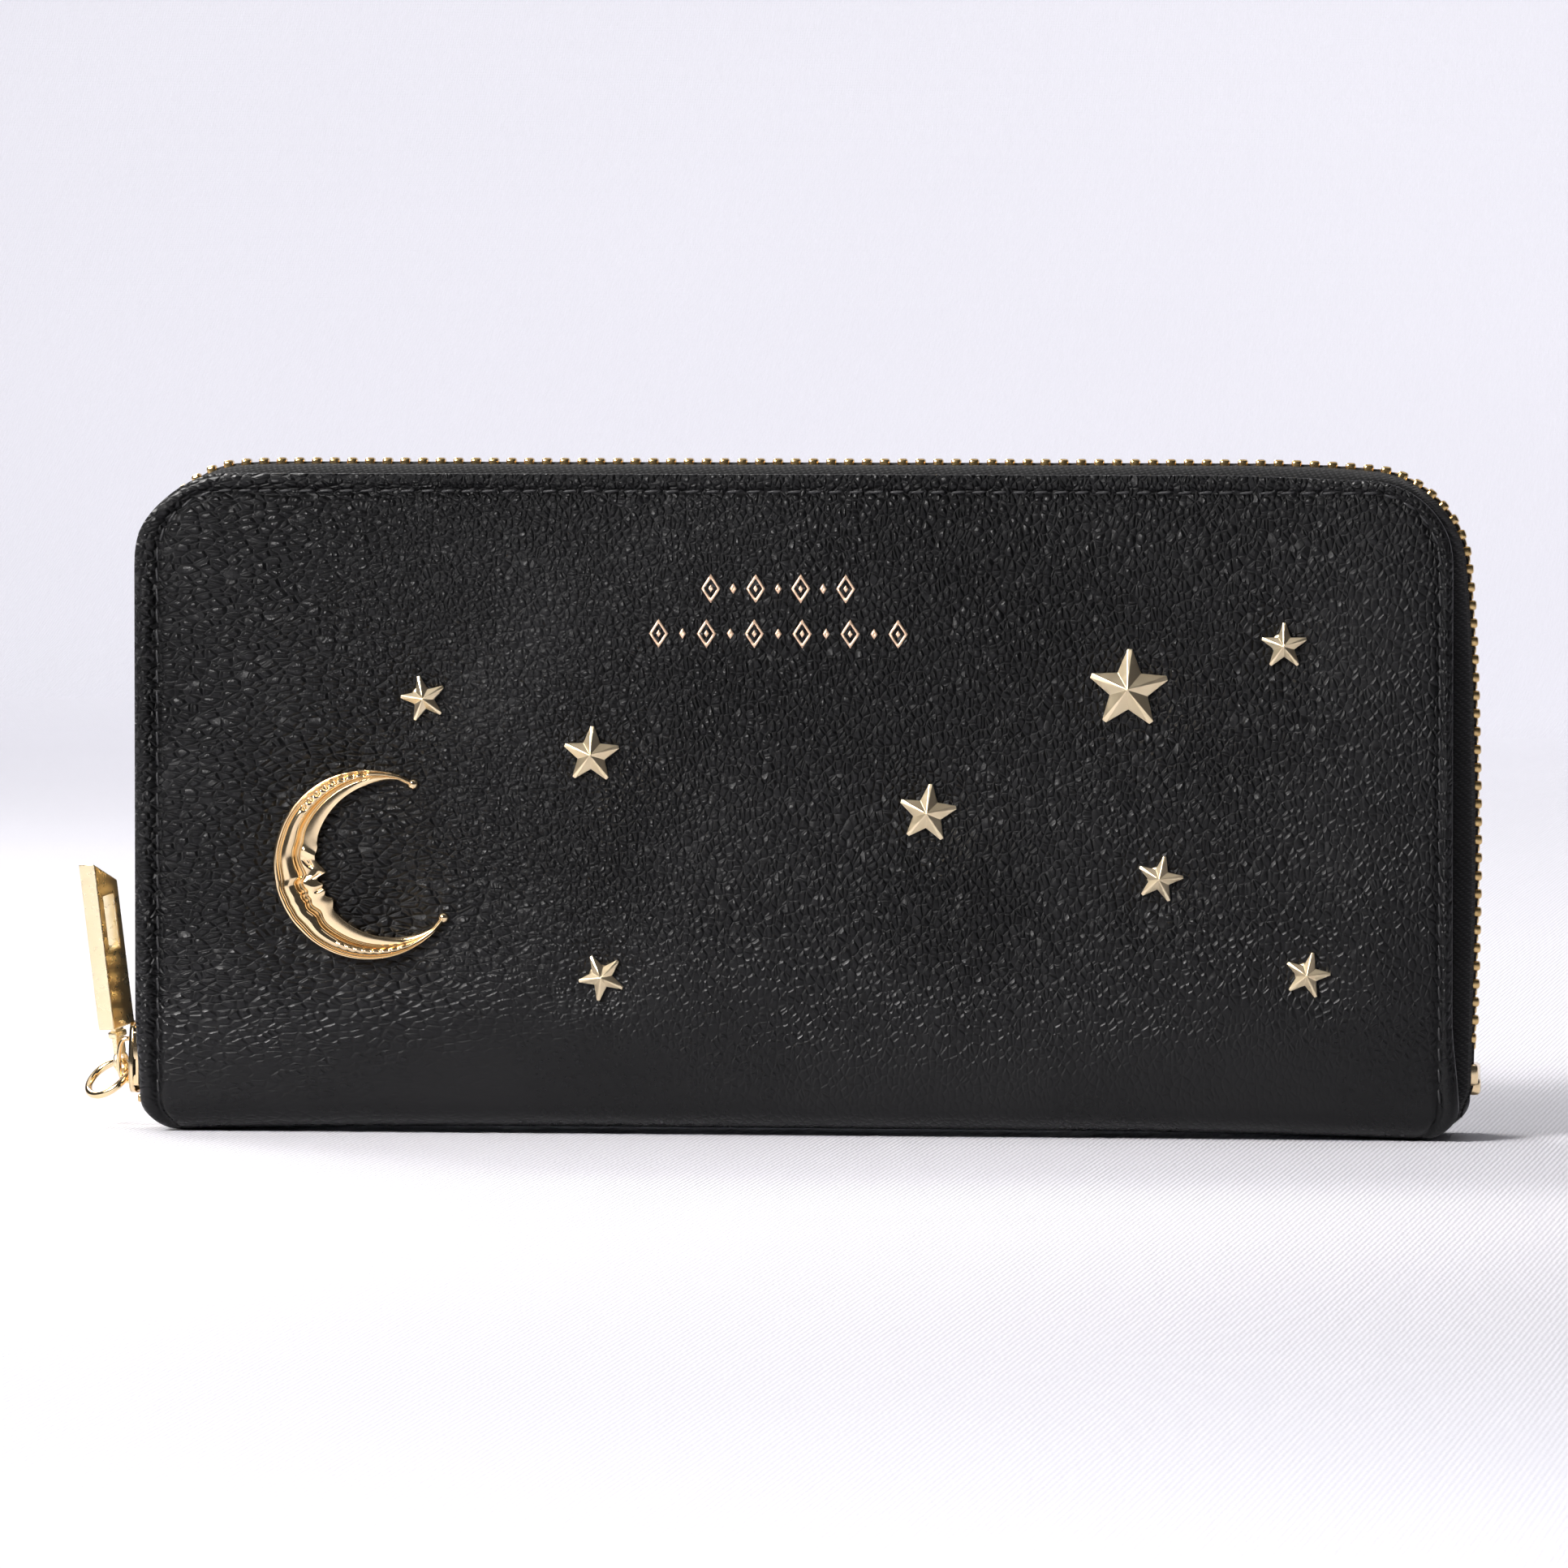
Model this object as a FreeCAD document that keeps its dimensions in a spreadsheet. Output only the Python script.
import FreeCAD, Part
import math
import os
import Sketcher
from FreeCAD import Placement, Rotation, Vector

# A zip-around wallet with star studs and a crescent ornament.
#
# The wallet stands on its spine. X runs along the spine, -Y is the studded front and +Z is up.
# The origin is the middle of the spine's flat base. All sizes are in millimetres.
#
# A cover is a stack of sheets: leather, foam, board, lining and card slots. The two covers fold
# on the edges of the spine, and one zip runs round their three free sides. Between the covers
# stands a coin pocket with a small zip of its own.

doc = FreeCAD.newDocument("zip_around_wallet")

# ---------------------------------------------------------------- driving dimensions

SIZES = {
    "cover_half_width": 96.0,
    "cover_top": 96.0,
    "cover_corner": 13.0,
    "half_depth": 12.5,
    "fold_height": 7.0,
    "leather": 1.2,
    "hem_width": 5.0,
    "foam": 1.0,
    "board": 1.0,
    "lining": 0.4,
    "lining_inset": 1.5,
    "card_sheet": 0.4,
    "card_inset": 12.0,
    "card_base": 10.0,
    "card_top": 82.0,
    "card_step": 13.0,
    "spine_half_length": 96.4,
    "spine_bend": 5.5,
    "spine_end_radius": 4.5,
    "spine_board_half_width": 6.0,
    "tape_thickness": 0.5,
    "tape_play": 0.1,
    "tape_offset": 0.8,
    "tape_gap": 1.3,
    "tape_split": 16.0,
    "tape_tail_low": 3.0,
    "tape_tail_reach": 8.0,
    "tooth_pitch": 2.6,
    "tooth_width": 1.15,
    "tooth_depth": 2.2,
    "tooth_chamfer": 0.35,
    "tooth_reach": 0.6,
    "tooth_leg": 1.9,
    "top_stop_length": 1.2,
    "stop_length": 3.2,
    "slider_low": 5.0,
    "slider_length": 10.5,
    "slider_half_width": 4.3,
    "slider_plate": 0.7,
    "slider_channel": 2.6,
    "slider_slot": 1.1,
    "slider_flange": 0.9,
    "post_half_width": 1.0,
    "post_length": 3.0,
    "bail_half_width": 0.5,
    "bail_low": 6.2,
    "bail_high": 13.2,
    "bail_rise": 2.0,
    "bail_bar": 0.7,
    "pivot_height": 8.1,
    "ring_radius": 3.4,
    "ring_wire": 0.55,
    "eye_radius": 1.7,
    "eye_bore": 0.95,
    "eye_thickness": 0.9,
    "puller_length": 30.0,
    "puller_width": 5.6,
    "puller_thickness": 2.8,
    "puller_neck": 5.2,
    "puller_cut": 3.4,
    "puller_lean": 9.0,
    "puller_twist": 15.0,
    "window_length": 8.0,
    "window_width": 2.6,
    "window_margin": 5.2,
    "pocket_half_width": 82.0,
    "pocket_low": 2.6,
    "pocket_top": 80.0,
    "pocket_wall": 0.6,
    "pocket_half_gap": 1.8,
    "coil_radius": 0.6,
    "coil_half_length": 70.0,
    "coin_tape": 0.4,
    "coin_post": 0.5,
    "coin_post_length": 1.2,
    "coin_plate": 0.6,
    "coin_slider_length": 8.0,
    "coin_slider_half_width": 2.4,
    "coin_ear": 1.6,
    "coin_ear_height": 1.9,
    "coin_pin": 0.35,
    "coin_barrel": 0.85,
    "coin_tab": 0.7,
    "coin_puller_length": 11.0,
    "coin_puller_width": 4.2,
    "gusset_thickness": 0.3,
    "gusset_reach": 7.0,
    "gusset_low": 9.0,
    "gusset_top": 74.0,
    "stitch_length": 2.0,
    "stitch_pitch": 2.9,
    "stitch_inset": 2.7,
    "stud_shank": 0.45,
    "washer_radius": 1.6,
    "washer_thickness": 0.3,
    "star_skirt": 0.3,
    "moon_radius": 13.9,
    "moon_bite": 11.3,
    "moon_bite_right": 3.83,
    "moon_bite_up": 0.88,
    "moon_x": -62.2,
    "moon_z": 39.1,
    "moon_plate": 1.5,
    "moon_rim": 0.7,
    "moon_rim_width": 1.0,
    "foil": 0.1,
}

sheet = doc.addObject("Spreadsheet::Sheet", "sizes")
for row, (alias, number) in enumerate(SIZES.items(), start=1):
    sheet.set(f"A{row}", alias.replace("_", " "))
    sheet.set(f"B{row}", str(number))
    sheet.setAlias(f"B{row}", alias)
doc.recompute()


class Size:
    """A length that FreeCAD reads as an expression on the sheet and Python reads as a number."""

    def __init__(self, text, number):
        self.text = text
        self.number = number

    def _with(self, other, sign, number):
        return Size(f"({self.text} {sign} {other.text})", number)

    def __add__(self, other):
        other = size(other)
        return self._with(other, "+", self.number + other.number)

    def __sub__(self, other):
        other = size(other)
        return self._with(other, "-", self.number - other.number)

    def __mul__(self, other):
        other = size(other)
        return self._with(other, "*", self.number * other.number)

    def __truediv__(self, other):
        other = size(other)
        return self._with(other, "/", self.number / other.number)

    def __neg__(self):
        return Size(f"(0 - {self.text})", -self.number)

    def __float__(self):
        return float(self.number)


def size(value):
    """A cell of the sheet by its alias, or a plain number, as a Size."""
    if isinstance(value, Size):
        return value
    if isinstance(value, str):
        return Size(f"sizes.{value}", sheet.get(value))
    return Size(f"{value:.6f}", float(value))


def number(alias):
    return float(size(alias))


# ---------------------------------------------------------------- sub-parts and sketches

SUB_PARTS = []


def keep(part, label):
    part.Label = label
    SUB_PARTS.append(part)
    return part


def new_body(label):
    return keep(doc.addObject("PartDesign::Body", label + "_body"), label)


def origin_plane(body, role):
    return next(f for f in body.Origin.OriginFeatures if f.Role == role)


def new_sketch(body, role, offset=0.0):
    """A sketch on one of the body's origin planes, shifted along that plane's normal."""
    sketch = body.newObject("Sketcher::SketchObject", body.Name + "_sketch")
    sketch.AttachmentSupport = (origin_plane(body, role), [""])
    sketch.MapMode = "FlatFace"
    offset = size(offset)
    sketch.AttachmentOffset = Placement(Vector(0, 0, float(offset)), Rotation())
    sketch.setExpression("AttachmentOffset.Base.z", offset.text)
    return sketch


def hold(sketch, kind, *places_and_value):
    """Adds a driving constraint whose value follows the sheet."""
    *places, value = places_and_value
    value = size(value)
    index = sketch.addConstraint(Sketcher.Constraint(kind, *places, float(value)))
    sketch.setExpression(f"Constraints[{index}]", value.text)


def tie(sketch, kind, *places):
    sketch.addConstraint(Sketcher.Constraint(kind, *places))


def draw_box(sketch, left, right, low, high):
    """A rectangle from left to right and low to high, in the sketch's own axes."""
    x0, x1, y0, y1 = (float(size(v)) for v in (left, right, low, high))
    corners = [Vector(x0, y0), Vector(x1, y0), Vector(x1, y1), Vector(x0, y1)]
    first = sketch.GeometryCount
    for a, b in zip(corners, corners[1:] + corners[:1]):
        sketch.addGeometry(Part.LineSegment(a, b), False)
    for k in range(4):
        tie(sketch, "Coincident", first + k, 2, first + (k + 1) % 4, 1)
    tie(sketch, "Horizontal", first)
    tie(sketch, "Vertical", first + 1)
    tie(sketch, "Horizontal", first + 2)
    tie(sketch, "Vertical", first + 3)
    for edge, point, kind, value in (
        (first, 1, "DistanceX", left),
        (first, 1, "DistanceY", low),
        (first + 2, 1, "DistanceX", right),
        (first + 2, 1, "DistanceY", high),
    ):
        hold(sketch, kind, -1, 1, edge, point, value)


def draw_panel(sketch, half_width, low, high, corner):
    """A cover's outline: square at the fold, with its two top corners round."""
    half_width, low, high, corner = (size(v) for v in (half_width, low, high, corner))
    w, z0, z1, r = (float(v) for v in (half_width, low, high, corner))
    arc_left = Part.Circle(Vector(-w + r, z1 - r), Vector(0, 0, 1), r)
    arc_right = Part.Circle(Vector(w - r, z1 - r), Vector(0, 0, 1), r)
    quarter = math.pi / 2
    for piece in (
        Part.LineSegment(Vector(-w, z0), Vector(w, z0)),
        Part.LineSegment(Vector(w, z0), Vector(w, z1 - r)),
        Part.ArcOfCircle(arc_right, 0, quarter),
        Part.LineSegment(Vector(w - r, z1), Vector(-w + r, z1)),
        Part.ArcOfCircle(arc_left, quarter, 2 * quarter),
        Part.LineSegment(Vector(-w, z1 - r), Vector(-w, z0)),
    ):
        sketch.addGeometry(piece, False)
    bottom, right, right_arc, top, left_arc, left = range(6)
    tie(sketch, "Coincident", bottom, 2, right, 1)
    tie(sketch, "Coincident", left, 2, bottom, 1)
    tie(sketch, "Tangent", right, 2, right_arc, 1)
    tie(sketch, "Tangent", right_arc, 2, top, 1)
    tie(sketch, "Tangent", top, 2, left_arc, 1)
    tie(sketch, "Tangent", left_arc, 2, left, 1)
    tie(sketch, "Vertical", right)
    tie(sketch, "Vertical", left)
    tie(sketch, "Horizontal", top)
    tie(sketch, "Equal", right_arc, left_arc)
    tie(sketch, "Symmetric", bottom, 1, bottom, 2, -2)
    hold(sketch, "DistanceX", -1, 1, bottom, 2, half_width)
    hold(sketch, "DistanceY", -1, 1, bottom, 2, low)
    hold(sketch, "DistanceY", -1, 1, top, 1, high)
    hold(sketch, "Radius", right_arc, corner)


def draw_polygon(sketch, points):
    """A closed outline through fixed corners."""
    first = sketch.GeometryCount
    count = len(points)
    for a, b in zip(points, points[1:] + points[:1]):
        sketch.addGeometry(Part.LineSegment(Vector(*a), Vector(*b)), False)
    for k in range(count):
        tie(sketch, "Coincident", first + k, 2, first + (k + 1) % count, 1)
        tie(sketch, "Block", first + k)


def pad(body, sketch, length, reverse=False):
    """Pads the sketch along its plane's normal, or against it."""
    feature = body.newObject("PartDesign::Pad", body.Name + "_pad")
    feature.Profile = sketch
    length = size(length)
    feature.Length = float(length)
    feature.setExpression("Length", length.text)
    feature.Reversed = reverse
    return feature


def pocket(body, sketch, length, reverse=False):
    """Cuts the sketch out and makes sure that it took material away."""
    doc.recompute()
    before = body.Shape.Volume
    feature = body.newObject("PartDesign::Pocket", body.Name + "_pocket")
    feature.Profile = sketch
    length = size(length)
    feature.Length = float(length)
    feature.setExpression("Length", length.text)
    feature.Reversed = reverse
    doc.recompute()
    if body.Shape.Volume >= before - 1e-6:
        raise RuntimeError(f"{body.Label}: a pocket cut nothing")
    return feature


def solid_feature(label, shape, placement=None):
    """A sub-part whose shape comes from Part's own functions."""
    feature = keep(doc.addObject("Part::Feature", label + "_shape"), label)
    feature.Shape = shape
    if placement is not None:
        feature.Placement = placement
    return feature


# The XZ plane's normal is -Y, so a sketch's offset there is how far it lies to the front.
# side is 1 for the front cover and -1 for the back cover, which is its mirror image.

SIDES = {"front": 1, "back": -1}


def panel(label, side, half_width, low, high, corner, face, thickness):
    """A flat sheet of a cover. face is how far its outer side lies from the wallet's middle."""
    body = new_body(label)
    sketch = new_sketch(body, "XZ_Plane", size(face) * side)
    draw_panel(sketch, half_width, low, high, corner)
    pad(body, sketch, thickness, reverse=side > 0)
    return body


# ---------------------------------------------------------------- cover sheets

LEATHER_FACE = size("half_depth")
HEM_FACE = LEATHER_FACE - size("leather")
TAPE_FACE = HEM_FACE - size("leather")
FOAM_FACE = HEM_FACE
BOARD_FACE = FOAM_FACE - size("foam")
LINING_FACE = BOARD_FACE - size("board")
CARD_FACE = LINING_FACE - size("lining")
BELOW_FOLD = size("fold_height") - 4.0
BOARD_CLEARANCE = 0.6


def inset_panel(label, side, inset, low, face, thickness):
    """A cover sheet that stops short of the cover's edge all round its three free sides."""
    inset = size(inset)
    return panel(
        label,
        side,
        size("cover_half_width") - inset,
        low,
        size("cover_top") - inset,
        size("cover_corner") - inset * 0.8,
        face,
        thickness,
    )


def cover_leather(name, side):
    """The outer skin, with its edge turned in as a hem that the zip tape is sewn to."""
    body = panel(
        f"{name}_leather",
        side,
        "cover_half_width",
        "fold_height",
        "cover_top",
        "cover_corner",
        LEATHER_FACE,
        size("leather") * 2,
    )
    inner = new_sketch(body, "XZ_Plane", TAPE_FACE * side)
    draw_panel(
        inner,
        size("cover_half_width") - size("hem_width"),
        BELOW_FOLD,
        size("cover_top") - size("hem_width"),
        size("cover_corner") - size("hem_width") * 0.8,
    )
    pocket(body, inner, "leather", reverse=side > 0)
    return body


def card_slot(name, side, tier):
    """One stepped row of card slots. The lower the tier, the further it lies inwards."""
    return panel(
        f"{name}_card_slot_{tier + 1}",
        side,
        size("cover_half_width") - size("card_inset"),
        "card_base",
        size("card_top") - size("card_step") * tier,
        0.8,
        CARD_FACE - size("card_sheet") * tier,
        "card_sheet",
    )


CARD_TIERS = 3
for name, side in SIDES.items():
    cover_leather(name, side)
    board_low = size("fold_height") + BOARD_CLEARANCE
    inset_panel(f"{name}_foam", side, "hem_width", board_low, FOAM_FACE, "foam")
    inset_panel(f"{name}_board", side, "hem_width", board_low, BOARD_FACE, "board")
    inset_panel(f"{name}_lining", side, "lining_inset", board_low, LINING_FACE, "lining")
    for tier in range(CARD_TIERS):
        card_slot(name, side, tier)


# ---------------------------------------------------------------- spine


def spine_channel(label, half_width, wall, height, bend, floor):
    """A trough along X: a flat floor with its sides bent up on round corners."""
    body = new_body(label)
    sketch = new_sketch(body, "YZ_Plane", -size("spine_half_length"))
    h, t, z1, r, z0 = (float(size(v)) for v in (half_width, wall, height, bend, floor))
    half_turn = math.pi

    def arc(centre_y, radius, start):
        circle = Part.Circle(Vector(centre_y, z0 + r), Vector(0, 0, 1), radius)
        return Part.ArcOfCircle(circle, start, start + half_turn / 2)

    for piece in (
        Part.LineSegment(Vector(-h, z1), Vector(-h, z0 + r)),
        arc(-h + r, r, half_turn),
        Part.LineSegment(Vector(-h + r, z0), Vector(h - r, z0)),
        arc(h - r, r, 1.5 * half_turn),
        Part.LineSegment(Vector(h, z0 + r), Vector(h, z1)),
        Part.LineSegment(Vector(h, z1), Vector(h - t, z1)),
        Part.LineSegment(Vector(h - t, z1), Vector(h - t, z0 + r)),
        arc(h - r, r - t, 1.5 * half_turn),
        Part.LineSegment(Vector(h - r, z0 + t), Vector(-h + r, z0 + t)),
        arc(-h + r, r - t, half_turn),
        Part.LineSegment(Vector(-h + t, z0 + r), Vector(-h + t, z1)),
        Part.LineSegment(Vector(-h + t, z1), Vector(-h, z1)),
    ):
        sketch.addGeometry(piece, False)
    pad(body, sketch, size("spine_half_length") * 2)
    return body


def trim_spine_ends(body):
    """Rounds the spine's four bottom corners, seen from the front."""
    doc.recompute()
    for hand in (-1, 1):
        end = hand * number("spine_half_length")
        r = number("spine_end_radius")
        sketch = new_sketch(body, "XZ_Plane", -size("half_depth") - 1.0)
        circle = Part.Circle(Vector(end - hand * r, r), Vector(0, 0, 1), r)
        start = -math.pi / 2 if hand > 0 else math.pi
        sketch.addGeometry(Part.ArcOfCircle(circle, start, start + math.pi / 2), False)
        corner = Vector(end, 0)
        foot, side_point = Vector(end - hand * r, 0), Vector(end, r)
        sketch.addGeometry(Part.LineSegment(foot, corner), False)
        sketch.addGeometry(Part.LineSegment(corner, side_point), False)
        pocket(body, sketch, size("half_depth") * 2 + 2.0, reverse=True)


spine_leather = spine_channel(
    "spine_leather", "half_depth", "leather", "fold_height", "spine_bend", 0.0
)
trim_spine_ends(spine_leather)


def spine_strip(label, half_width, low, thickness, half_length):
    body = new_body(label)
    sketch = new_sketch(body, "XY_Plane", low)
    draw_box(sketch, -size(half_length), half_length, -size(half_width), half_width)
    pad(body, sketch, thickness)
    return body


STRIP_HALF_LENGTH = size("spine_half_length") - size("spine_end_radius") - 1.0
spine_strip("spine_board", "spine_board_half_width", "leather", "board", STRIP_HALF_LENGTH)
spine_strip(
    "spine_lining",
    "spine_board_half_width",
    size("leather") + size("board"),
    "lining",
    STRIP_HALF_LENGTH,
)


# ---------------------------------------------------------------- main zip

TAPE_OUT = size("tape_offset") + size("tape_thickness") / 2
TAPE_IN = size("tape_offset") - size("tape_thickness") / 2


def zip_tape(name, side):
    """Half of the zip's tape: a wall beside the teeth, and a flange sewn to the cover's hem."""
    body = panel(
        f"zip_tape_{name}",
        side,
        size("cover_half_width") + TAPE_OUT,
        "tape_split",
        size("cover_top") + TAPE_OUT,
        size("cover_corner") + TAPE_OUT,
        TAPE_FACE,
        TAPE_FACE - size("tape_gap"),
    )
    hollow = new_sketch(body, "XZ_Plane", size("tape_gap") * side)
    draw_panel(
        hollow,
        size("cover_half_width") + TAPE_IN,
        BELOW_FOLD,
        size("cover_top") + TAPE_IN,
        size("cover_corner") + TAPE_IN,
    )
    depth = TAPE_FACE - size("tape_gap") - size("tape_thickness")
    pocket(body, hollow, depth, reverse=side > 0)
    window = new_sketch(body, "XZ_Plane", size("tape_gap") * side)
    draw_panel(
        window,
        size("cover_half_width") - size("hem_width"),
        BELOW_FOLD,
        size("cover_top") - size("hem_width"),
        size("cover_corner") - size("hem_width") * 0.8,
    )
    pocket(body, window, TAPE_FACE, reverse=side > 0)
    return body


for name, side in SIDES.items():
    zip_tape(name, side)


def tape_tail(hand, side):
    """The tape's tail below the split: its wall, and a foot that is tucked into the spine."""
    wall_out = number("cover_half_width") + float(TAPE_OUT)
    wall_in = number("cover_half_width") + float(TAPE_IN)
    low, high = number("tape_tail_low"), number("tape_split") - 0.1
    near, far = number("tape_gap"), float(TAPE_FACE) - number("tape_thickness")
    y = min(-side * near, -side * far)
    wall = Part.makeBox(wall_out - wall_in, far - near, high - low, Vector(wall_in, y, low))
    reach = number("tape_tail_reach")
    foot = Part.makeBox(
        reach, far - near, number("tape_thickness"), Vector(wall_out - reach, y, low)
    )
    tail = wall.fuse(foot).removeSplitter()
    return tail if hand > 0 else tail.mirror(Vector(), Vector(1, 0, 0))


for hand, place in ((-1, "left"), (1, "right")):
    tails = Part.Compound([tape_tail(hand, side) for side in SIDES.values()])
    solid_feature(f"zip_tape_tails_{place}", tails)


def clamp(width, near, far):
    """A metal clamp in its own frame: X along the chain, Y across it and Z outwards.

    It reaches from near to far on its own side of the chain, with a slot that holds the tape.
    """
    depth = number("tooth_depth")
    grip = Part.makeBox(width, far - near, depth, Vector(-width / 2, -far, -depth / 2))
    long_edges = [
        e for e in grip.Edges
        if abs(e.tangentAt(e.FirstParameter).x) > 0.9 and e.BoundBox.YMax < -near - 0.1
    ]
    grip = grip.makeChamfer(number("tooth_chamfer"), long_edges)
    slot = number("tape_thickness") + 2 * number("tape_play")
    mouth = number("tape_gap") - number("tape_play")
    return grip.cut(
        Part.makeBox(width + 2, far - mouth + 1, slot, Vector(-width / 2 - 1, -far - 1, -slot / 2))
    )


def tooth():
    """One tooth of the front row: a clamp on the tape, and a head that reaches past the middle."""
    width, reach, gap = number("tooth_width"), number("tooth_reach"), number("tape_gap")
    far = gap + number("tooth_leg") - 0.2
    head_depth = number("tooth_depth") - 2 * number("tooth_chamfer")
    head = Part.makeBox(width, gap + reach, head_depth, Vector(-width / 2, -gap, -head_depth / 2))
    return clamp(width, gap - 0.4, far).fuse(head).removeSplitter()


def chain_path():
    """The chain's centre line: up the left side, over the top and down the right side.

    Returns its length, and a function from a length along it to (x, z, direction in degrees).
    """
    offset = number("tape_offset")
    half = number("cover_half_width") + offset
    top = number("cover_top") + offset
    radius = number("cover_corner") + offset
    low = number("slider_low") + number("post_length") + number("tooth_width")
    rise = top - radius - low
    quarter = radius * math.pi / 2
    across = 2 * (half - radius)

    def at(s):
        if s <= rise:
            return -half, low + s, 90.0
        s -= rise
        if s <= quarter:
            turn = s / radius
            x = -half + radius - radius * math.cos(turn)
            return x, top - radius + radius * math.sin(turn), 90.0 - math.degrees(turn)
        s -= quarter
        if s <= across:
            return -half + radius + s, top, 0.0
        s -= across
        if s <= quarter:
            turn = s / radius
            x = half - radius + radius * math.sin(turn)
            return x, top - radius + radius * math.cos(turn), -math.degrees(turn)
        return half, top - radius - (s - quarter), -90.0

    return 2 * rise + 2 * quarter + across, at


def on_chain(shape, x, z, direction, side):
    """Turns a shape made in the clamp's frame to its place on the chain."""
    turn = Rotation(Vector(0, 1, 0), -direction)
    flip = Rotation(Vector(0, 0, 1), 0 if side > 0 else 180)
    placed = shape.copy()
    placed.Placement = Placement(Vector(x, 0, z), turn.multiply(flip))
    return placed


def chain_teeth():
    """All teeth of both rows, sorted into the covers' own and the ends that the spine holds."""
    length, at = chain_path()
    pitch = number("tooth_pitch")
    one = tooth()
    groups = {"zip_teeth_front": [], "zip_teeth_back": []}
    groups.update({"zip_end_teeth_left": [], "zip_end_teeth_right": []})
    for name, side in SIDES.items():
        s = pitch / 4 if side > 0 else pitch * 3 / 4
        while s < length - number("stop_length"):
            x, z, direction = at(s)
            end = "left" if x < 0 else "right"
            low = z - number("tooth_width") / 2 < number("tape_split") and direction != 0
            key = f"zip_end_teeth_{end}" if low else f"zip_teeth_{name}"
            groups[key].append(on_chain(one, x, z, direction, side))
            s += pitch
    return groups


for label, teeth in chain_teeth().items():
    solid_feature(label, Part.Compound(teeth))


def zip_stops():
    """Two small stops below the slider, and the wide one that joins the tapes at the far end."""
    edge = number("cover_half_width") + number("tape_offset")
    near, far = number("tape_gap") - 0.5, number("tape_gap") + number("tooth_leg") - 0.2
    small = clamp(number("top_stop_length"), near, far)
    z = number("slider_low") - number("tape_play") - number("top_stop_length") / 2
    upper = [on_chain(small, -edge, z, 90.0, side) for side in SIDES.values()]
    solid_feature("zip_top_stops", Part.Compound(upper))
    wide = number("stop_length")
    half = clamp(wide, 0.0, far)
    z = number("slider_low") + number("post_length") + wide / 2 - 0.4
    halves = [on_chain(half, edge, z, -90.0, side) for side in SIDES.values()]
    solid_feature("zip_bottom_stop", halves[0].fuse(halves[1]).removeSplitter())


zip_stops()

# ---------------------------------------------------------------- slider, ring and puller

# Lengths here are measured outwards from the left edge of the covers, against X.
CHANNEL_IN = size("tape_offset") - size("slider_channel") / 2
CHANNEL_OUT = size("tape_offset") + size("slider_channel") / 2
SLOT_IN = size("tape_offset") - size("slider_slot") / 2
SLOT_OUT = size("tape_offset") + size("slider_slot") / 2
PLATE_IN = CHANNEL_IN - size("slider_plate")
PLATE_OUT = CHANNEL_OUT + size("slider_plate")
EDGE = -size("cover_half_width")


def slider_block(body, blocks, low, height):
    """Pads boxes given by their reach outwards and across."""
    sketch = new_sketch(body, "XY_Plane", low)
    for inner, outer, across_low, across_high in blocks:
        draw_box(sketch, EDGE - outer, EDGE - inner, across_low, across_high)
    pad(body, sketch, height)


def build_slider():
    body = new_body("slider_body")
    half, post = size("slider_half_width"), size("post_half_width")
    flange = half - size("slider_flange")
    low, length = size("slider_low"), size("slider_length")
    slider_block(body, [(PLATE_IN, PLATE_OUT, -post, post)], low, "post_length")
    slider_block(body, [(PLATE_IN, CHANNEL_IN, -half, half)], low, length)
    slider_block(body, [(CHANNEL_OUT, PLATE_OUT, -half, half)], low, length)
    lips = []
    for start, stop in ((-half, -flange), (flange, half)):
        lips.append((CHANNEL_IN, SLOT_IN, start, stop))
        lips.append((SLOT_OUT, CHANNEL_OUT, start, stop))
    slider_block(body, lips, low, length)


def build_bail():
    """The arch on the slider's outer plate that the ring hangs in."""
    body = new_body("slider_bail")
    rise = PLATE_OUT + size("bail_rise")
    bar = size("bail_bar")
    sketch = new_sketch(body, "XZ_Plane", -size("bail_half_width"))
    draw_box(sketch, EDGE - rise - bar, EDGE - PLATE_OUT, "bail_low", "bail_high")
    pad(body, sketch, size("bail_half_width") * 2)
    gap = new_sketch(body, "XZ_Plane", -size("bail_half_width"))
    draw_box(gap, EDGE - rise, EDGE - PLATE_OUT, size("bail_low") + bar, size("bail_high") - bar)
    pocket(body, gap, size("bail_half_width") * 2, reverse=True)


build_slider()
build_bail()

# The ring's wire runs under the bail along RING_ALONG, and its centre lies along RING_AWAY.
RING_ALONG = Vector(0, 0.8, 0.6)
RING_AWAY = Vector(-0.9, 0.26, -0.3467).normalize()
RING_NORMAL = RING_ALONG.cross(RING_AWAY)
UP = Vector(0, 0, 1)


def ring_places():
    """Where the ring goes under the bail, its centre, and where it carries the puller."""
    reach = number("cover_half_width") + float(PLATE_OUT) + number("bail_rise") / 2
    under_bail = Vector(-reach, 0, number("pivot_height"))
    centre = under_bail + RING_AWAY * number("ring_radius")
    rise = (UP - RING_NORMAL * UP.dot(RING_NORMAL)).normalize()
    return under_bail, centre, centre + rise * number("ring_radius")


RING_PIVOT, RING_CENTRE, PULLER_PIVOT = ring_places()
ring = keep(doc.addObject("Part::Torus", "pull_ring_torus"), "pull_ring")
ring.setExpression("Radius1", "sizes.ring_radius")
ring.setExpression("Radius2", "sizes.ring_wire")
ring.Placement = Placement(RING_CENTRE, Rotation(UP, RING_NORMAL))


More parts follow.
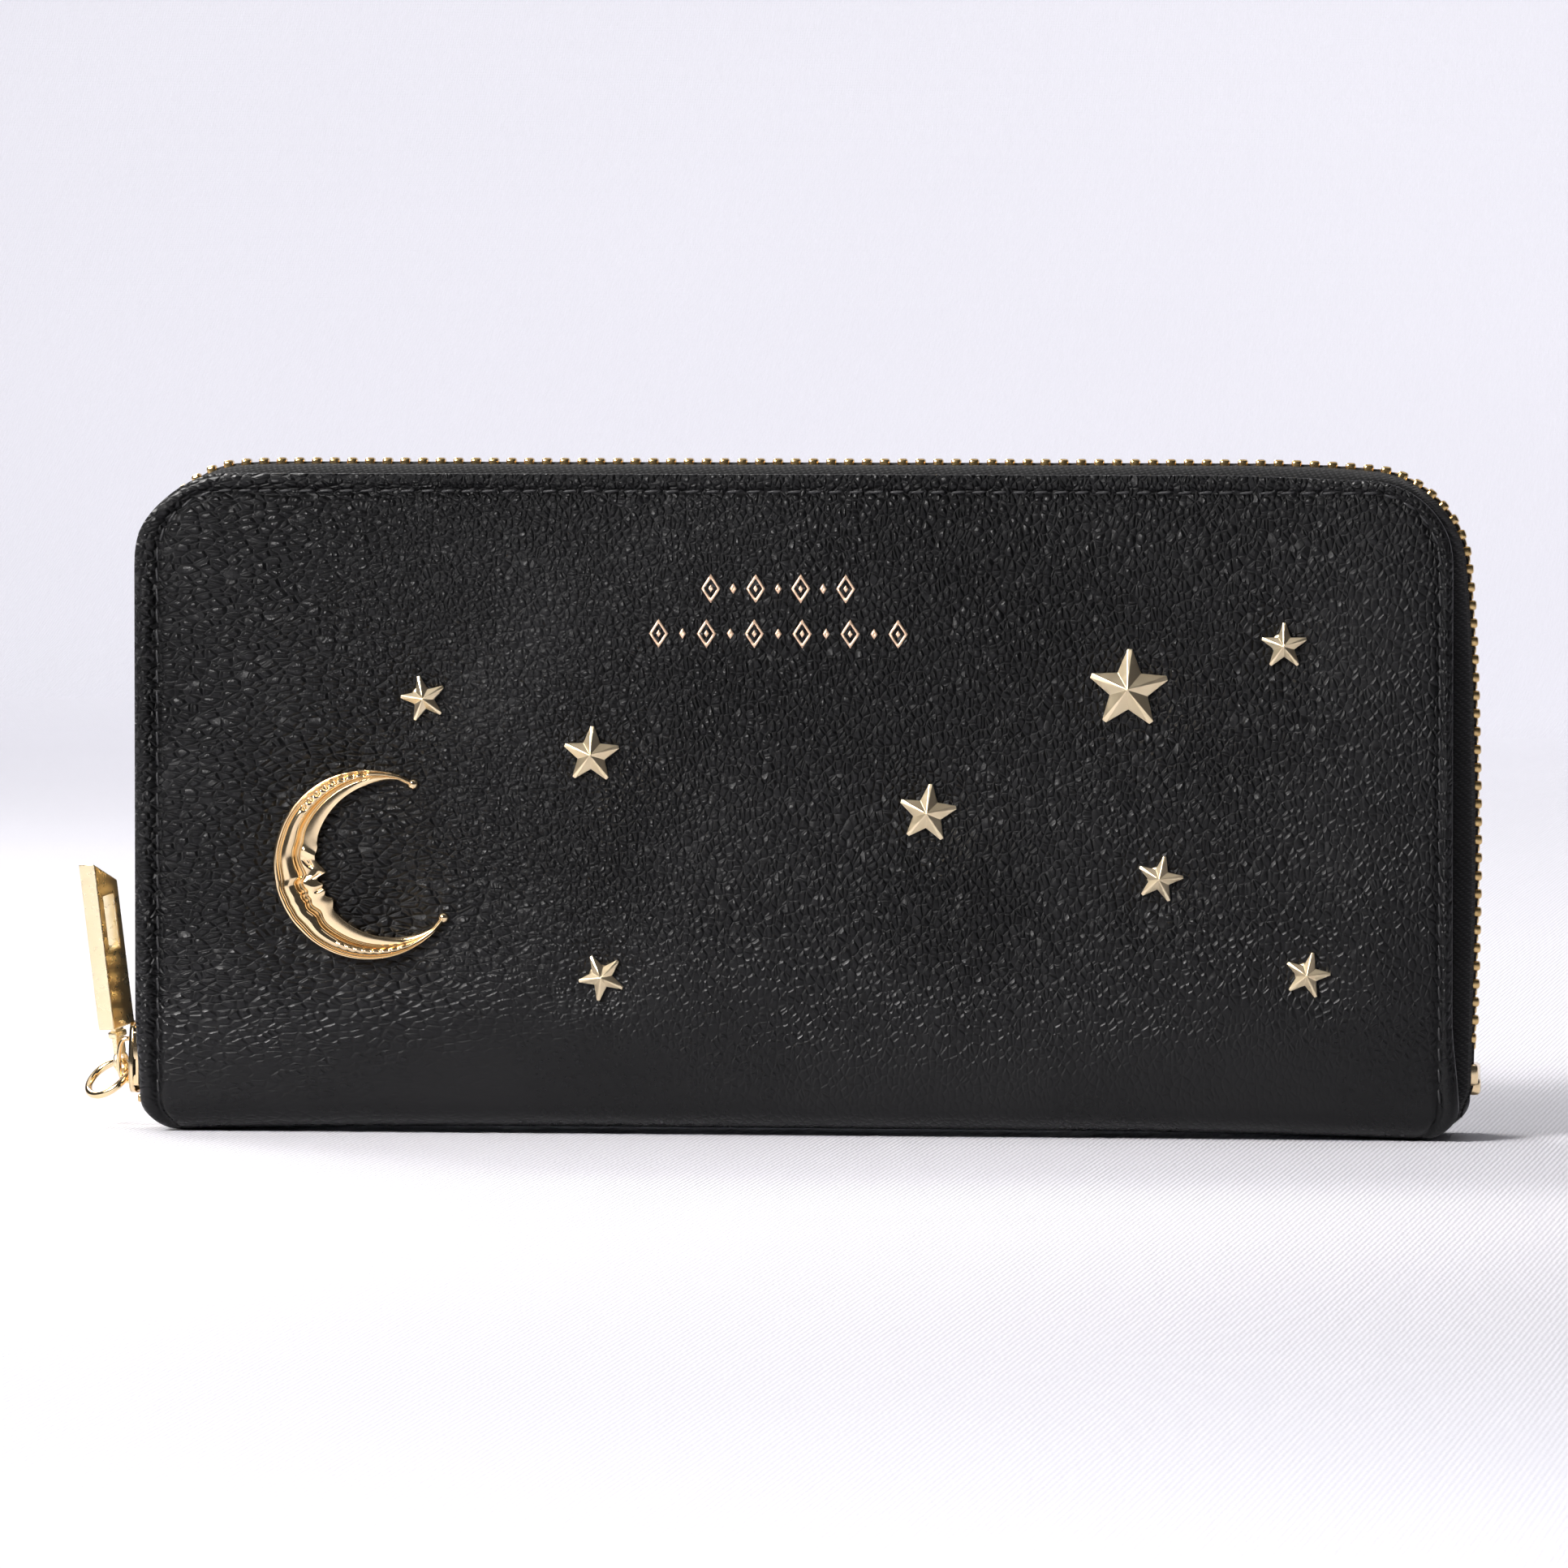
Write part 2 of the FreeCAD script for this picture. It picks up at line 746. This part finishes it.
def build_puller():
    """A long flat bar on a narrow neck, with a window near its slanted upper end.

    Its own frame has Z along the bar, X across it and Y through it, from the eye's centre.
    """
    body = new_body("pull_bar")
    width, neck = size("puller_width"), size("puller_neck")
    eye, thick = size("eye_radius"), size("eye_thickness")
    tab = new_sketch(body, "XZ_Plane", -thick / 2)
    draw_box(tab, -eye, eye, -eye, neck + 1.0)
    pad(body, tab, thick)
    bar = new_sketch(body, "XZ_Plane", -size("puller_thickness") / 2)
    draw_box(bar, -width / 2, width / 2, neck, "puller_length")
    pad(body, bar, "puller_thickness")
    bore = new_sketch(body, "XZ_Plane", -thick / 2 - 1.0)
    circle = bore.addGeometry(Part.Circle(Vector(), UP, number("eye_bore")), False)
    tie(bore, "Coincident", circle, 3, -1, 1)
    hold(bore, "Radius", circle, "eye_bore")
    pocket(body, bore, thick + 2.0, reverse=True)
    window = new_sketch(body, "XZ_Plane", -size("puller_thickness"))
    top = size("puller_length") - size("window_margin")
    half = size("window_width") / 2
    draw_box(window, -half, half, top - size("window_length"), top)
    pocket(body, window, size("puller_thickness") * 2, reverse=True)
    slant = new_sketch(body, "XZ_Plane", -size("puller_thickness"))
    w, high = number("puller_width") / 2, number("puller_length")
    draw_polygon(slant, [(w, high - number("puller_cut")), (w + 1, high + 1), (-w, high)])
    pocket(body, slant, size("puller_thickness") * 2, reverse=True)
    return body


puller = build_puller()
PULLER_AXIS = RING_NORMAL.cross(PULLER_PIVOT - RING_CENTRE).normalize()
PULLER_SIDE = PULLER_AXIS.cross(UP).normalize()
lean = math.radians(number("puller_lean"))
PULLER_ALONG = UP * math.cos(lean) - PULLER_SIDE * math.sin(lean)
PULLER_ACROSS = PULLER_AXIS.cross(PULLER_ALONG)
hanging = Rotation(PULLER_ACROSS, PULLER_AXIS, PULLER_ALONG, "ZYX")
twist = Rotation(PULLER_ALONG, number("puller_twist"))
puller.Placement = Placement(PULLER_PIVOT, twist.multiply(hanging))

# ---------------------------------------------------------------- coin pocket

for name, side in SIDES.items():
    panel(
        f"coin_pocket_{name}_wall",
        side,
        "pocket_half_width",
        "pocket_low",
        "pocket_top",
        3.0,
        size("pocket_half_gap") + size("pocket_wall"),
        "pocket_wall",
    )

COIN_TAPE_TOP = size("pocket_top") - 0.4
COIL_AXIS = COIN_TAPE_TOP + size("coil_radius")
COIN_PLATE_LOW = COIL_AXIS + size("coil_radius") + 0.3


def coin_zip():
    """The coin pocket's zip: two narrow tapes between the walls, each with a nylon coil."""
    half = size("coil_half_length")
    for name, side in SIDES.items():
        tape = new_body(f"coin_zip_tape_{name}")
        sketch = new_sketch(tape, "XY_Plane", COIN_TAPE_TOP - size("coin_tape"))
        far, near = size("pocket_half_gap"), size("coin_post") + 0.2
        low, high = (-far, -near) if side > 0 else (near, far)
        draw_box(sketch, -half, half, low, high)
        pad(tape, sketch, "coin_tape")
        coil = keep(doc.addObject("Part::Cylinder", f"coin_coil_{name}"), f"coin_zip_coil_{name}")
        coil.setExpression("Radius", "sizes.coil_radius")
        coil.setExpression("Height", "sizes.coil_half_length * 2")
        y = -side * (number("coil_radius") + 0.02)
        coil.Placement = Placement(
            Vector(-number("coil_half_length"), y, float(COIL_AXIS)),
            Rotation(Vector(0, 1, 0), 90),
        )


def coin_slider():
    """The small slider, with its post beyond the coils' left end and two ears for its puller."""
    body = new_body("coin_slider")
    left = -size("coil_half_length") - size("coin_post_length") - 0.3
    right = left + size("coin_slider_length")
    post, plate = size("coin_post"), size("coin_plate")
    half = size("coin_slider_half_width")
    floor = COIN_TAPE_TOP - size("coin_tape") - 0.3 - plate
    height = COIN_PLATE_LOW + plate - floor
    blocks = (
        (left, left + size("coin_post_length"), -post, post, floor, height),
        (left, right, -post - 0.7, post + 0.7, floor, plate),
        (left, right, -half, half, COIN_PLATE_LOW, plate),
    )
    for x0, x1, y0, y1, low, tall in blocks:
        sketch = new_sketch(body, "XY_Plane", low)
        draw_box(sketch, x0, x1, y0, y1)
        pad(body, sketch, tall)
    ears = new_sketch(body, "XY_Plane", COIN_PLATE_LOW + plate)
    inner = size("coin_ear")
    middle = left + size("coin_slider_length") / 2
    for low, high in ((-half, -inner), (inner, half)):
        draw_box(ears, middle - 0.9, middle + 0.9, low, high)
    pad(body, ears, "coin_ear_height")
    pin = new_sketch(body, "XZ_Plane", -half)
    high = COIN_PLATE_LOW + plate + size("coin_ear_height") - 0.9
    circle = Part.Circle(Vector(float(middle), float(high)), UP, number("coin_pin"))
    index = pin.addGeometry(circle, False)
    hold(pin, "DistanceX", -1, 1, index, 3, middle)
    hold(pin, "DistanceY", -1, 1, index, 3, high)
    hold(pin, "Radius", index, "coin_pin")
    pad(body, pin, half * 2)
    return Vector(float(middle), 0, float(high))


def coin_puller(pivot):
    """A flat tab on a barrel that turns on the slider's pin. It lies along the zip."""
    body = new_body("coin_puller")
    half = size("coin_ear") - 0.2
    barrel = new_sketch(body, "XZ_Plane", -half)
    index = barrel.addGeometry(Part.Circle(Vector(), UP, 0.85), False)
    tie(barrel, "Coincident", index, 3, -1, 1)
    hold(barrel, "Radius", index, "coin_barrel")
    pad(body, barrel, half * 2)
    tab = new_sketch(body, "XY_Plane", -size("coin_tab") / 2)
    draw_box(tab, 0.0, 2.2, -half, half)
    pad(body, tab, "coin_tab")
    grip = new_sketch(body, "XY_Plane", -size("coin_tab") / 2)
    wide = size("coin_puller_width") / 2
    draw_box(grip, 2.0, "coin_puller_length", -wide, wide)
    pad(body, grip, "coin_tab")
    bore = new_sketch(body, "XZ_Plane", -half - 1.0)
    index = bore.addGeometry(Part.Circle(Vector(), UP, 0.5), False)
    tie(bore, "Coincident", index, 3, -1, 1)
    hold(bore, "Radius", index, size("coin_pin") + 0.12)
    pocket(body, bore, half * 2 + 2.0, reverse=True)
    body.Placement = Placement(pivot, Rotation())


coin_zip()
COIN_PIVOT = coin_slider()
coin_puller(COIN_PIVOT)

# ---------------------------------------------------------------- gussets


def gusset(name, side, hand, place):
    """A folded strip that joins a cover's lining to the coin pocket, so that nothing falls out."""
    body = new_body(f"gusset_{name}_{place}")
    sketch = new_sketch(body, "XY_Plane", "gusset_low")
    t = number("gusset_thickness")
    root = number("pocket_half_width") - 4.0
    fold = number("pocket_half_width") + number("gusset_reach")
    near = number("pocket_half_gap") + number("pocket_wall")
    far = float(CARD_FACE) - number("card_sheet") * CARD_TIERS - 0.2
    middle = (near + far) / 2
    outline = [
        (root, near), (root + 4.0, near), (fold, middle), (root + 4.0, far), (root, far),
        (root, far - t), (root + 4.0 - t, far - t), (fold - 2.2 * t, middle),
        (root + 4.0 - t, near + t), (root, near + t),
    ]
    draw_polygon(sketch, [(hand * x, -side * y) for x, y in outline])
    pad(body, sketch, size("gusset_top") - size("gusset_low"))


for name, side in SIDES.items():
    for hand, place in ((-1, "left"), (1, "right")):
        gusset(name, side, hand, place)

# ---------------------------------------------------------------- stitching


def stitches(name, side):
    """Short threads on the leather's face, in a row round its three free sides."""
    inset, pitch = number("stitch_inset"), number("stitch_pitch")
    half = number("cover_half_width") - inset
    top = number("cover_top") - inset
    radius = number("cover_corner") - inset * 0.8
    low = number("fold_height") + 2.0
    rise, quarter, across = top - radius - low, radius * math.pi / 2, 2 * (half - radius)
    length = 2 * rise + 2 * quarter + across
    count = int(length / pitch)
    one = Part.makeBox(number("stitch_length"), 0.2, 0.36, Vector(-1.0, 0, -0.18))
    threads = []
    for k in range(count):
        s = (k + 0.5) * length / count
        if s < rise:
            x, z, turn = -half, low + s, 90.0
        elif s < rise + quarter:
            angle = (s - rise) / radius
            x = -half + radius * (1 - math.cos(angle))
            z, turn = top - radius * (1 - math.sin(angle)), 90.0 - math.degrees(angle)
        elif s < rise + quarter + across:
            x, z, turn = -half + radius + (s - rise - quarter), top, 0.0
        elif s < rise + 2 * quarter + across:
            angle = (s - rise - quarter - across) / radius
            x = half - radius * (1 - math.sin(angle))
            z, turn = top - radius * (1 - math.cos(angle)), -math.degrees(angle)
        else:
            x, z, turn = half, top - radius - (s - rise - 2 * quarter - across), -90.0
        thread = one.copy()
        y = -side * (number("half_depth") + (0.2 if side > 0 else 0.0))
        thread.Placement = Placement(Vector(x, y, z), Rotation(Vector(0, 1, 0), -turn))
        threads.append(thread)
    solid_feature(f"{name}_stitching", Part.Compound(threads))


for name, side in SIDES.items():
    stitches(name, side)

# ---------------------------------------------------------------- studs and ornaments

# Each star is (x, z, tip radius, turn in degrees), seen from the front.
STARS = {
    "large_star": [(48.5, 65.0, 5.8, -1.7)],
    "medium_stars": [(-29.5, 55.2, 4.15, -2.0), (19.4, 47.0, 4.25, -6.5)],
    "small_stars": [
        (-54.0, 63.2, 3.35, 13.3),
        (-28.0, 23.0, 3.4, 27.3),
        (70.9, 71.3, 3.4, 0.0),
        (53.0, 37.7, 3.4, -12.8),
        (74.3, 24.0, 3.35, -14.1),
    ],
}
INNER_RATIO = 0.45
HEIGHT_RATIO = 0.4
FACE_Y = -number("half_depth")


def star(x, z, radius, turn):
    """A five-pointed stud: a low skirt, then ten facets that rise to one peak."""
    skirt = number("star_skirt")
    corners = []
    for k in range(10):
        reach = radius if k % 2 == 0 else radius * INNER_RATIO
        angle = math.radians(90 + turn + 36 * k)
        corners.append((x + reach * math.cos(angle), z + reach * math.sin(angle)))
    base = [Vector(a, FACE_Y, b) for a, b in corners]
    rim = [Vector(a, FACE_Y - skirt, b) for a, b in corners]
    peak = Vector(x, FACE_Y - skirt - radius * HEIGHT_RATIO, z)
    faces = [Part.Face(Part.makePolygon(base + base[:1]))]
    for k in range(10):
        n = (k + 1) % 10
        faces.append(Part.Face(Part.makePolygon([base[k], base[n], rim[n], rim[k], base[k]])))
        faces.append(Part.Face(Part.makePolygon([rim[k], rim[n], peak, rim[k]])))
    solid = Part.Solid(Part.Shell(faces))
    if solid.Volume < 0:
        solid.reverse()
    return solid


for label, places in STARS.items():
    solid_feature(label, Part.Compound([star(*place) for place in places]))

MOON_POSTS = [(-72.6, 46.0), (-75.2, 36.0), (-66.5, 27.8)]
STUD_POINTS = [place[:2] for places in STARS.values() for place in places] + MOON_POSTS


def stud_shanks():
    """A pin and a washer behind each stud, and three behind the crescent."""
    through = number("leather")
    pins = []
    for x, z in STUD_POINTS:
        pin = Part.makeCylinder(
            number("stud_shank"), through, Vector(x, FACE_Y, z), Vector(0, 1, 0)
        )
        washer = Part.makeCylinder(
            number("washer_radius"),
            number("washer_thickness"),
            Vector(x, FACE_Y + through, z),
            Vector(0, 1, 0),
        )
        pins.append(pin.fuse(washer).removeSplitter())
    solid_feature("stud_shanks", Part.Compound(pins))


def bore_for_studs(label, radius, face, depth):
    """Cuts a round hole behind every stud."""
    body = next(part for part in SUB_PARTS if part.Label == label)
    sketch = new_sketch(body, "XZ_Plane", face)
    for x, z in STUD_POINTS:
        index = sketch.addGeometry(Part.Circle(Vector(x, z), UP, float(radius)), False)
        tie(sketch, "Block", index)
    pocket(body, sketch, depth)


stud_shanks()
bore_for_studs("front_leather", number("stud_shank") + 0.05, LEATHER_FACE, "leather")
bore_for_studs("front_foam", number("washer_radius") + 0.1, FOAM_FACE, "foam")


def crescent():
    """A crescent plate with a raised rim round its outer edge."""
    body = new_body("crescent_moon")
    x, z = size("moon_x"), size("moon_z")

    def circle(sketch, radius, right=0.0, rise=0.0):
        at_x, at_z, radius = x + right, z + rise, size(radius)
        shape = Part.Circle(Vector(float(at_x), float(at_z)), UP, float(radius))
        index = sketch.addGeometry(shape, False)
        hold(sketch, "DistanceX", -1, 1, index, 3, at_x)
        hold(sketch, "DistanceY", -1, 1, index, 3, at_z)
        hold(sketch, "Radius", index, radius)

    plate = new_sketch(body, "XZ_Plane", LEATHER_FACE)
    circle(plate, "moon_radius")
    pad(body, plate, "moon_plate")
    rim = new_sketch(body, "XZ_Plane", LEATHER_FACE + size("moon_plate"))
    circle(rim, "moon_radius")
    circle(rim, size("moon_radius") - size("moon_rim_width"))
    pad(body, rim, "moon_rim")
    bite = new_sketch(body, "XZ_Plane", LEATHER_FACE - 1.0)
    circle(bite, "moon_bite", "moon_bite_right", "moon_bite_up")
    pocket(body, bite, size("moon_plate") + size("moon_rim") + 2.0, reverse=True)


def foil_ornament():
    """Two centred rows of small lozenges, stamped in foil."""
    rows = [(79.0, -12.0, 8.0, 2.0, 6), (72.6, -19.5, 15.5, 2.0, 9)]
    foils = []
    for z, left, right, half, count in rows:
        for k in range(count):
            x = left + (right - left) * k / (count - 1)
            size_here = half if k % 2 == 0 else half * 0.55
            points = [
                Vector(x + a * size_here * 0.62, FACE_Y, z + b * size_here)
                for a, b in ((1, 0), (0, 1), (-1, 0), (0, -1), (1, 0))
            ]
            face = Part.Face(Part.makePolygon(points))
            foils.append(face.extrude(Vector(0, -number("foil"), 0)))
    solid_feature("foil_ornament", Part.Compound(foils))


crescent()
foil_ornament()

# ---------------------------------------------------------------- check and write

doc.recompute()
os.makedirs("parts", exist_ok=True)
for item in doc.Objects:
    if "Invalid" in item.State or "Error" in item.State:
        raise RuntimeError(f"{item.Label}: {item.State}")
for part in SUB_PARTS:
    if part.Shape.isNull() or not part.Shape.isValid():
        raise RuntimeError(f"{part.Label}: its shape is null or not valid")
for part in SUB_PARTS:
    part.Shape.exportStep(f"parts/{part.Label}.step")
    print(part.Label, round(part.Shape.Volume, 1), len(part.Shape.Solids))
print("ring pivot", RING_PIVOT, RING_ALONG)
print("puller pivot", PULLER_PIVOT, PULLER_AXIS)
print("coin pivot", COIN_PIVOT)
